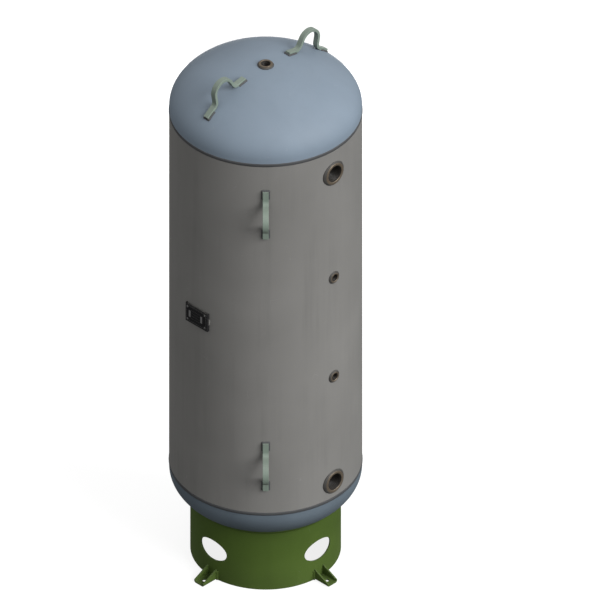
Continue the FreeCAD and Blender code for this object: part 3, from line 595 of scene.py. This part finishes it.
def couplingFinish(name, coupling):
    values = couplingValues
    material, tree, shader = newMaterial(pieceTitle(name, "Steel"))
    marks = useGroup(tree, effects["turningMarks"], Centre=coupling["mouth"], Axis=coupling["axis"])
    stain = grain(tree, objectPlace(tree), values["stainScale"], detail=5.0, rough=0.62)
    stain = span(tree, stain, *values["stainEdges"])
    base = blendColor(tree, stain, values["color"], values["stain"])
    wear = useGroup(tree, effects["edgeWear"], Amount=values["wear"])["Mask"]
    base = blendColor(tree, wear, base, values["wornColor"])
    bore = threadValues[coupling["family"]]["bore"]
    nearBore, farBore = values["boreShadeEdges"]
    # painted shade inside the bore, fading out past its wall, where the steel is also made
    # non-metallic
    boreShaded = span(tree, marks["Reach"], bore + nearBore, bore + farBore, start=1.0, end=0.0)
    plug(tree, blendColor(tree, boreShaded, base, values["boreShade"]), shader.inputs["Base Color"])
    rough = calc(tree, "MULTIPLY_ADD", stain, values["stainDull"], values["roughness"])
    rough = calc(tree, "MULTIPLY_ADD", marks["Sheen"], values["sheenDull"], rough)
    plug(tree, rough, shader.inputs["Roughness"])
    metal = span(tree, stain, 0.0, 1.0, start=values["cleanMetal"], end=values["stainedMetal"])
    unshaded = calc(tree, "SUBTRACT", 1.0, boreShaded)
    plug(tree, calc(tree, "MULTIPLY", metal, unshaded), shader.inputs["Metallic"])
    addRelief(tree, shader, marks["Height"], values["relief"], values["reliefDistance"],
              values["softEdge"])
    shader.inputs["Specular IOR Level"].default_value = values["specular"]
    return material


for couplingName, coupling in couplings.items():
    placeCoupling(couplingName, coupling)
couplingFinishes = {name: couplingFinish(name, coupling) for name, coupling in couplings.items()}
print("couplings finished:", len(couplingFinishes))


# Data plate and rivets

plateValues = {
    "face": {
        "name": "plateLacquer", "color": (0.007, 0.007, 0.008, 1.0),
        "metallic": 0.0, "roughness": 0.4, "dust": 0.25,
    },
    "metal": {
        "name": "plateMetal", "color": (0.3, 0.3, 0.3, 1.0),
        "metallic": 0.7, "roughness": 0.34, "dust": 0.2,
    },
    "rivet": {
        "name": "rivetMetal", "color": (0.16, 0.16, 0.16, 1.0),
        "metallic": 0.8, "roughness": 0.4, "dust": 0.2,
    },
}
brushValues = {
    "strokes": (30.0, 30.0, 900.0),
    "drift": 0.12,
    "driftScale": 30.0,
    "scratchScale": 60.0,
    "scratch": 0.5,
    "wearReach": 0.0006,
    "wear": 0.8,
    "wearMetal": 0.9,
    "bareColor": (0.3, 0.3, 0.3, 1.0),
    "brushDull": 0.2,
    "specular": 0.22,
    "relief": 0.12,
    "reliefDistance": 0.0002,
}


def plateFinish(values):
    brush = brushValues
    material, tree, shader = newMaterial(values["name"])
    strokes = vectorCalc(tree, "MULTIPLY", objectPlace(tree), brush["strokes"])[0]
    brushed = grain(tree, strokes, 1.0, rough=0.6)
    tone = useGroup(tree, effects["toneDrift"], Color=values["color"], Amount=brush["drift"],
                    Scale=brush["driftScale"])
    dust = useGroup(tree, effects["settledDust"], Amount=values["dust"])["Mask"]
    scratch = useGroup(tree, effects["fineScratches"], Scale=brush["scratchScale"],
                       Amount=brush["scratch"])["Mask"]
    wear = useGroup(tree, effects["edgeWear"], Reach=brush["wearReach"], Amount=brush["wear"])["Mask"]
    base = blendColor(tree, dust, tone["Color"], dirtAndShade["dustColor"])
    base = blendColor(tree, calc(tree, "MAXIMUM", scratch, wear), base, brush["bareColor"])
    plug(tree, base, shader.inputs["Base Color"])
    rough = calc(tree, "MULTIPLY_ADD", brushed, brush["brushDull"], values["roughness"])
    plug(tree, rough, shader.inputs["Roughness"])
    bare = calc(tree, "MULTIPLY", wear, brush["wearMetal"])
    plug(tree, calc(tree, "MAXIMUM", bare, values["metallic"]), shader.inputs["Metallic"])
    addRelief(tree, shader, brushed, brush["relief"], brush["reliefDistance"])
    shader.inputs["Specular IOR Level"].default_value = brush["specular"]
    return material


plateFinishes = {name: plateFinish(values) for name, values in plateValues.items()}


# Every CAD node that shows gets its finish

plainFinishes = {
    "shell": paints["shell"],
    "top_head": paints["head"],
    # the bottom head takes the darker head paint, as painted shade on the underside
    "bottom_head": paints["sump"],
    "base_skirt": paints["skirt"],
    "plate_bracket": paints["bracket"],
    "data_plate": plateFinishes["face"],
    "plate_rivets": plateFinishes["rivet"],
}


def finishFor(nodeName):
    if nodeName.endswith("_foot"):
        return paints["skirt"]
    if nodeName.endswith("_lug"):
        return paints["lug"]
    return couplingFinishes.get(nodeName) or plainFinishes.get(nodeName)


def dressNodes():
    # the plain welds have no finish here, because rippled beads replace them
    dressed = 0
    for nodeName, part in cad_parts.items():
        finish = finishFor(nodeName)
        if finish:
            for slot in part.material_slots:
                slot.link = "OBJECT"
                slot.material = finish
            dressed += 1
    print("CAD nodes dressed:", dressed)


# Mesh helpers

def addPiece(name, points, faces, finish, smooth=True):
    mesh = bpy.data.meshes.new(name)
    mesh.from_pydata(points, [], faces)
    mesh.validate()
    mesh.polygons.foreach_set("use_smooth", [smooth] * len(mesh.polygons))
    mesh.materials.append(finish)
    piece = addToScene(name, mesh)
    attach(piece, "root")
    return piece


# Weld beads: a crowned run of overlapping ripples between two edges

beadValues = {
    "seam": {"pitch": 0.0030, "crown": 0.0010, "ripple": 0.0004, "bow": 0.55, "wander": 0.0003},
    "fillet": {"pitch": 0.0026, "crown": 0.0006, "ripple": 0.0004, "bow": 0.5, "wander": 0.00025},
    "fewest": 3,             # ripples in the shortest bead
    "samples": 5,            # rings of points in each ripple
    "across": 7,
    "endRipples": 1.5,       # an open bead rises to its full height over these
    "endHeight": 0.15,
    "wanderRate": 60,        # per metre
    "wanderPlane": 0.3,
    "uneven": 0.35,
    "unevenStep": 0.7,
}
beadSeeds = {
    "girth": 1.0, "shellSeam": 5.0, "skirtSeam": 6.0, "skirt": 7.0, "coupling": 10.0,
    "foot": 30.0, "headLug": 40.0, "sideLug": 50.0, "bracket": 60.0,
}


def beadPoints(placeAt, u, ripples, length, values, seed, ends):
    # one ring of points across the bead, from toe to toe, and its root
    first, second, root = placeAt(u)
    away = ((first + second) / 2 - root).normalized()
    side = (second - first).normalized()
    wave = Vector((u * length * beadValues["wanderRate"], seed, beadValues["wanderPlane"]))
    drift = noise.noise(wave) * values["wander"]
    points = []
    for j in range(beadValues["across"]):
        t = j / (beadValues["across"] - 1)
        edge = (2 * t - 1) ** 2
        phase = u * ripples - values["bow"] * (1 - edge)
        beat = abs(math.sin(math.pi * phase))
        step = Vector((math.floor(phase) * beadValues["unevenStep"], seed, t))
        lively = 1 + beadValues["uneven"] * noise.noise(step)
        swell = (values["crown"] + values["ripple"] * beat * lively) * (1 - edge) * ends
        slip = drift + values["wander"] * (t - 0.5) * beat
        points.append(first.lerp(second, t) + away * swell + side * slip)
    points.append(root)
    return points


def rippledBead(placeAt, length, style, seed, closed):
    # placeAt(u) gives both toes and the root of the bead at a fraction u of its length
    values = beadValues[style]
    ripples = max(beadValues["fewest"], round(length / values["pitch"]))
    count = ripples * beadValues["samples"]
    rings = count if closed else count + 1
    points = []
    for k in range(rings):
        u = k / count
        ends = 1.0
        if not closed:
            rise = min(u, 1 - u) * ripples / beadValues["endRipples"]
            ends = min(1.0, rise + beadValues["endHeight"])
        points.extend(beadPoints(placeAt, u, ripples, length, values, seed, ends))
    wide = beadValues["across"] + 1
    faces = []
    for k in range(rings if closed else rings - 1):
        here, there = k * wide, ((k + 1) % rings) * wide
        for j in range(wide):
            nextJ = (j + 1) % wide
            faces.append((here + j, there + j, there + nextJ, here + nextJ))
    if not closed:
        faces.append(tuple(range(wide)))
        faces.append(tuple(reversed(range((rings - 1) * wide, rings * wide))))
    return points, faces


def layBead(title, runs, finish, node):
    # one piece from one or more runs, in place of a node's plain weld
    points, faces = [], []
    for runPoints, runFaces in runs:
        base = len(points)
        points.extend(runPoints)
        faces.extend(tuple(base + index for index in face) for face in runFaces)
    piece = addPiece(title, points, faces, finish)
    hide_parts(node)


def ringPlace(profile):
    # profile gives (radius, height) for both toes and the root of a ring about the vessel's axis
    def placeAt(u):
        angle = 2 * math.pi * u
        c, s = math.cos(angle), math.sin(angle)
        return tuple(Vector((radius * c, radius * s, height)) for radius, height in profile)
    return placeAt


def domeLevel(radius):
    # height of a head's curve above its flange, at a distance from the axis
    return vessel["domeRise"] * math.sqrt(max(0.0, 1 - (radius / vessel["shellRadius"]) ** 2))


def wallReach(radius, across):
    # how far out a round wall stands, at a distance to the side
    return math.sqrt(radius ** 2 - across ** 2)


def girthBeads():
    values = {"sink": 0.002}
    radius = vessel["shellRadius"]
    for index, side in enumerate(("upper", "lower")):
        node = side + "_girth_weld"
        low, high = reachOf(node, "z")
        profile = [(radius, low), (radius, high), (radius - values["sink"], middleOf(node, "z"))]
        seed = beadSeeds["girth"] + index
        run = rippledBead(ringPlace(profile), 2 * math.pi * radius, "seam", seed, True)
        layBead(side + "GirthBead", [run], paints["girth"], node)


def seamBeads():
    # a straight seam up each rolled sheet, at an angle about the vessel's axis
    values = {
        "shell": {"radius": vessel["shellRadius"], "turn": 180.0, "seed": beadSeeds["shellSeam"]},
        "skirt": {"radius": vessel["skirtRadius"], "turn": 135.0, "seed": beadSeeds["skirtSeam"]},
        "halfWidth": 0.004,
        "sink": 0.002,
        "floorGap": 0.001,
    }
    halfWidth = values["halfWidth"]
    for sheet in ("shell", "skirt"):
        node = sheet + "_seam_weld"
        radius, turn = values[sheet]["radius"], math.radians(values[sheet]["turn"])
        low, high = reachOf(node, "z")
        low = max(low, values["floorGap"])
        outward = Vector((math.cos(turn), math.sin(turn), 0))
        side = Vector((-math.sin(turn), math.cos(turn), 0))
        toe, root = outward * wallReach(radius, halfWidth), outward * (radius - values["sink"])

        def placeAt(u, low=low, high=high, toe=toe, root=root, side=side):
            rise = Vector((0, 0, low + (high - low) * u))
            return rise + toe - side * halfWidth, rise + toe + side * halfWidth, rise + root
        run = rippledBead(placeAt, high - low, "seam", values[sheet]["seed"], False)
        layBead(sheet + "SeamBead", [run], paints[sheet], node)


def skirtBead():
    values = {"lowToe": 0.0035, "leg": 0.007, "sink": 0.002, "rootDrop": 0.001}
    radius = vessel["skirtRadius"]
    outer = radius + values["leg"]
    top = vessel["bottomDome"] - domeLevel(outer)
    profile = [
        (radius, vessel["skirtHeight"] - values["lowToe"]),
        (outer, top),
        (radius - values["sink"], top - values["rootDrop"]),
    ]
    run = rippledBead(ringPlace(profile), 2 * math.pi * radius, "fillet", beadSeeds["skirt"], True)
    layBead("skirtBead", [run], paints["skirt"], "skirt_weld")


ringValues = {
    "leg": 0.0045,
    "lip": 0.0002,           # the toe on the coupling's wall stops this far short
    "sink": 0.001,
    "tries": 4,
}


def ringOnShell(coupling):
    # one toe on a coupling's wall, the other where the curved shell meets the fillet
    inner, leg, shellRadius = coupling["radius"], ringValues["leg"], vessel["shellRadius"]
    level = coupling["mouth"][2]

    def placeAt(u):
        angle = 2 * math.pi * u
        c, s = math.cos(angle), math.sin(angle)
        toe = inner + leg
        for _ in range(ringValues["tries"]):
            plate = wallReach(shellRadius, toe * c)
            toe = inner + (shellRadius + leg - plate)
        first = Vector((shellRadius + leg - ringValues["lip"], inner * c, level + inner * s))
        second = Vector((plate, toe * c, level + toe * s))
        root = Vector((plate - ringValues["sink"], inner * c, level + inner * s))
        return first, second, root
    return placeAt


def ringOnDome(coupling):
    inner, leg = coupling["radius"], ringValues["leg"]
    outer = inner + leg
    sign = coupling["axis"][2]
    base = vessel["topDome"] if sign > 0 else vessel["bottomDome"]
    apex = base + sign * vessel["domeRise"]
    return ringPlace([
        (inner, apex + sign * (leg - ringValues["lip"])),
        (outer, base + sign * domeLevel(outer)),
        (inner, apex - sign * ringValues["sink"]),
    ])


def couplingBeads():
    for index, (name, coupling) in enumerate(couplings.items()):
        onDome = coupling["axis"][2]
        place = ringOnDome(coupling) if onDome else ringOnShell(coupling)
        length = 2 * math.pi * (coupling["radius"] + ringValues["leg"])
        run = rippledBead(place, length, "fillet", beadSeeds["coupling"] + index, True)
        layBead(pieceTitle(name, "Bead"), [run], paints["collar"], name + "_weld")


def standingPlace(spin, radius, edge, leg, sink, low, high):
    # an upright fillet where a plate's edge stands on a round wall, left or right by its sign
    toe = edge + math.copysign(leg, edge)
    wall, toeWall = wallReach(radius, edge), wallReach(radius, toe)

    def placeAt(u):
        level = low + (high - low) * u
        first = Vector((wall + leg, edge, level))
        second = Vector((toeWall, toe, level))
        root = Vector((wall - sink, edge, level))
        return spin @ first, spin @ second, spin @ root
    return placeAt


def footBeads():
    # two upright fillets where each clip's gussets meet the skirt
    values = {"leg": 0.0052, "sink": 0.001, "floorGap": 0.0006}
    turns = {"right": 0.0, "rear": 90.0, "left": 180.0, "front": 270.0}
    halfWidth = halfOf("right_foot", "y")
    height = reachOf("right_foot_welds", "z")[1]
    for index, (side, degrees) in enumerate(turns.items()):
        spin = Matrix.Rotation(math.radians(degrees), 3, "Z")
        runs = []
        for sign in (-1, 1):
            place = standingPlace(spin, vessel["skirtRadius"], sign * halfWidth, values["leg"],
                                  values["sink"], values["floorGap"], height)
            runs.append(rippledBead(place, height, "fillet", beadSeeds["foot"] + index, False))
        layBead(side + "FootBeads", runs, paints["skirt"], side + "_foot_welds")


def bracketBeads():
    values = {"leg": 0.003, "sink": 0.001, "turn": 270.0}
    spin = Matrix.Rotation(math.radians(values["turn"]), 3, "Z")
    halfWidth = halfOf("plate_bracket", "x")
    low, high = reachOf("bracket_welds", "z")
    runs = []
    for sign in (-1, 1):
        place = standingPlace(spin, vessel["shellRadius"], sign * halfWidth, values["leg"],
                              values["sink"], low, high)
        runs.append(rippledBead(place, high - low, "fillet", beadSeeds["bracket"] + sign, False))
    layBead("bracketBeads", runs, paints["shell"], "bracket_welds")


lugValues = {
    "barHalf": halfOf("front_head_lug", "x"),
    "foot": 0.031,
    "leg": 0.0045,
    "sink": 0.0005,
    "headFeet": ((0.250, 1.0), (0.112, -1.0)),       # from the axis, and which way the foot points
    "headTurns": {"front": 270.0, "rear": 90.0},
    "sideReach": 0.0745,     # middle of a side lug's foot from the lug's middle
}


def footTrack():
    # length of the bead round a foot: two sides, the free end and two round corners
    return 2 * lugValues["foot"] + 2 * lugValues["barHalf"] + math.pi * lugValues["leg"]


def footRun(u):
    # a point on the three welded edges of a lug's foot and the way out from the foot there,
    # both along and across it, where along runs from the bend to the free end
    half, foot, leg = lugValues["barHalf"], lugValues["foot"], lugValues["leg"]
    turn = leg * math.pi / 2
    s = u * footTrack()
    if s < foot:
        return s - foot / 2, -half, 0.0, -1.0
    s -= foot
    if s < turn:
        a = s / leg
        return foot / 2, -half, math.sin(a), -math.cos(a)
    s -= turn
    if s < 2 * half:
        return foot / 2, -half + s, 1.0, 0.0
    s -= 2 * half
    if s < turn:
        a = s / leg
        return foot / 2, half, math.cos(a), math.sin(a)
    s -= turn
    return foot / 2 - s, half, 0.0, 1.0


def footPlace(spotAt):
    # spotAt(along, across, lift) gives a point by the foot, on the plate or lifted off it
    leg, sink = lugValues["leg"], lugValues["sink"]

    def placeAt(u):
        along, across, outAlong, outAcross = footRun(u)
        first = spotAt(along, across, leg)
        second = spotAt(along + outAlong * leg, across + outAcross * leg, 0.0)
        root = spotAt(along - outAlong * sink, across - outAcross * sink, -sink)
        return first, second, root
    return placeAt


def spotOnDome(spin, radius, way):
    # dropped on the dome, then lifted square to its slope under the foot
    rise, shellRadius = vessel["domeRise"], vessel["shellRadius"]
    slope = math.atan(rise * radius / (shellRadius * wallReach(shellRadius, radius)))

    def spotAt(along, across, lift):
        x = radius + way * along * math.cos(slope)
        level = vessel["topDome"] + domeLevel(math.hypot(x, across))
        return spin @ Vector((x + lift * math.sin(slope), across, level + lift * math.cos(slope)))
    return spotAt


def spotOnShell(facing, beside, centre, way):
    def spotAt(along, across, lift):
        reach = wallReach(vessel["shellRadius"], across) + lift
        spot = facing * reach + beside * across
        return Vector((spot.x, spot.y, centre + way * along))
    return spotAt


def headLugBeads():
    for index, (side, degrees) in enumerate(lugValues["headTurns"].items()):
        spin = Matrix.Rotation(math.radians(degrees), 3, "Z")
        runs = []
        for radius, way in lugValues["headFeet"]:
            place = footPlace(spotOnDome(spin, radius, way))
            seed = beadSeeds["headLug"] + index + way
            runs.append(rippledBead(place, footTrack(), "fillet", seed, False))
        layBead(side + "HeadLugBeads", runs, paints["girth"], side + "_head_lug_welds")


def sideLugBeads():
    # both lugs face halfway between the couplings and the data plate
    facing = Vector((1, -1, 0)).normalized()
    beside = Vector((1, 1, 0)).normalized()
    for index, side in enumerate(("upper", "lower")):
        middle = middleOf(side + "_side_lug", "z")
        runs = []
        for way in (1.0, -1.0):
            place = footPlace(spotOnShell(facing, beside, middle + way * lugValues["sideReach"], way))
            seed = beadSeeds["sideLug"] + index + way
            runs.append(rippledBead(place, footTrack(), "fillet", seed, False))
        layBead(side + "SideLugBeads", runs, paints["girth"], side + "_side_lug_welds")


# Pipe threads inside the couplings

def pipeThread(name, coupling):
    values = threadValues[coupling["family"]]
    sides, ridge = values["sides"], threadValues["ridge"]
    outward = Vector(coupling["axis"])
    side = Vector((1, 0, 0)) if coupling["axis"][2] else Vector((0, 1, 0))
    other = outward.cross(side)
    start = Vector(coupling["mouth"]) - outward * threadValues["mouth"]
    turns = (coupling["length"] - threadValues["mouth"]) / values["pitch"] - 1  # room for the ridge
    stations = int(turns * sides)
    points = []
    for k in range(stations + 1):
        angle = 2 * math.pi * k / sides
        spoke = side * math.cos(angle) + other * math.sin(angle)
        fade = min(1.0, k / (threadValues["fadeIn"] * sides), (stations - k) / sides)
        for along, height in ridge:
            depth = (k / sides + along) * values["pitch"]
            reach = values["bore"] - threadValues["skin"] - values["depth"] * height * fade
            points.append(start - outward * depth + spoke * reach)
    wide = len(ridge)
    faces = []
    for k in range(stations):
        here, there = k * wide, (k + 1) * wide
        for j in range(wide - 1):
            faces.append((here + j, here + j + 1, there + j + 1, there + j))
        nextTurn = (k + sides) * wide
        if k + sides + 1 <= stations:
            faces.append((here + wide - 1, nextTurn, nextTurn + wide, there + wide - 1))
    addPiece(pieceTitle(name, "Thread"), points, faces, couplingFinishes[name],
             smooth=False)


# Data plate face: blank fields only

fieldValues = {
    "lift": 0.00018,
    "sink": 0.0001,
    "borderInset": 0.0025,
    "borderLine": 0.0006,
    "margins": ((-0.0325, -0.0245), (0.0190, 0.0270)),
    "marginHalf": 0.0125,
    "rules": (0.0150, 0.0050, -0.0050, -0.0150),
    "ruleSpan": (-0.0215, 0.0160),
    "ruleHalf": 0.0002,
}


def plateFields():
    values = fieldValues
    face = reachOf("data_plate", "y")[0]
    middle = middleOf("data_plate", "z")

    def addFields(name, boxes, finish):
        points, faces = [], []
        for x0, x1, z0, z1 in boxes:
            base = len(points)
            for y in (face + values["sink"], face - values["lift"]):
                for x, z in ((x0, z0), (x1, z0), (x1, z1), (x0, z1)):
                    points.append(Vector((x, y, middle + z)))
            faces.append((base + 4, base + 5, base + 6, base + 7))
            for j in range(4):
                nextJ = (j + 1) % 4
                faces.append((base + j, base + nextJ, base + 4 + nextJ, base + 4 + j))
            faces.append((base + 3, base + 2, base + 1, base))
        addPiece(name, points, faces, finish, smooth=False)

    tall = values["marginHalf"]
    margins = [(left, right, -tall, tall) for left, right in values["margins"]]
    addFields("plateMargins", margins, plateFinishes["metal"])
    line, inset = values["borderLine"], values["borderInset"]
    halfX = round(halfOf("data_plate", "x") - inset, 4)
    halfZ = round(halfOf("data_plate", "z") - inset, 4)
    border = [
        (-halfX, halfX, halfZ - line, halfZ),
        (-halfX, halfX, -halfZ, -halfZ + line),
        (-halfX, -halfX + line, -halfZ + line, halfZ - line),
        (halfX - line, halfX, -halfZ + line, halfZ - line),
    ]
    left, right = values["ruleSpan"]
    thin = values["ruleHalf"]
    rules = [(left, right, level - thin, level + thin) for level in values["rules"]]
    addFields("plateRules", border + rules, plateFinishes["rivet"])


# Floor

floorValues = {
    "color": (0.24, 0.24, 0.24, 1.0),
    "drift": 0.01,
    "driftScale": 1.0,
    "glow": 0.83,            # a light table, so that shade on it stays pale
    "glowColor": (1.0, 1.0, 1.0, 1.0),
    "roughness": 0.9,
    "specular": 0.1,
    "size": 60.0,
    "drop": 0.0005,          # just under the skirt, so that no faces coincide
}


def addFloor(values):
    half = values["size"] / 2
    corners = [(-half, -half, 0), (half, -half, 0), (half, half, 0), (-half, half, 0)]
    mesh = bpy.data.meshes.new("studioFloor")
    mesh.from_pydata(corners, [], [(0, 1, 2, 3)])
    floor = addToScene("studioFloor", mesh)
    floor.location.z = -values["drop"]
    floor.visible_diffuse = False
    floor.visible_glossy = False
    material, tree, shader = newMaterial("paleFloor")
    tone = useGroup(tree, effects["toneDrift"], Color=values["color"], Amount=values["drift"],
                    Scale=values["driftScale"])
    plug(tree, tone["Color"], shader.inputs["Base Color"])
    shader.inputs["Emission Color"].default_value = values["glowColor"]
    shader.inputs["Emission Strength"].default_value = values["glow"]
    shader.inputs["Roughness"].default_value = values["roughness"]
    shader.inputs["Specular IOR Level"].default_value = values["specular"]
    mesh.materials.append(material)


addCamera(viewValues)
addKey(lightValues)
addBackPanel(lightValues)
addSky(lightValues)
addFloor(floorValues)
print("camera, light and floor placed")
dressNodes()
girthBeads()
seamBeads()
skirtBead()
couplingBeads()
footBeads()
headLugBeads()
sideLugBeads()
bracketBeads()
print("weld beads laid")
for couplingName, coupling in couplings.items():
    pipeThread(couplingName, coupling)
print("threads cut")
plateFields()
print("data plate dressed")
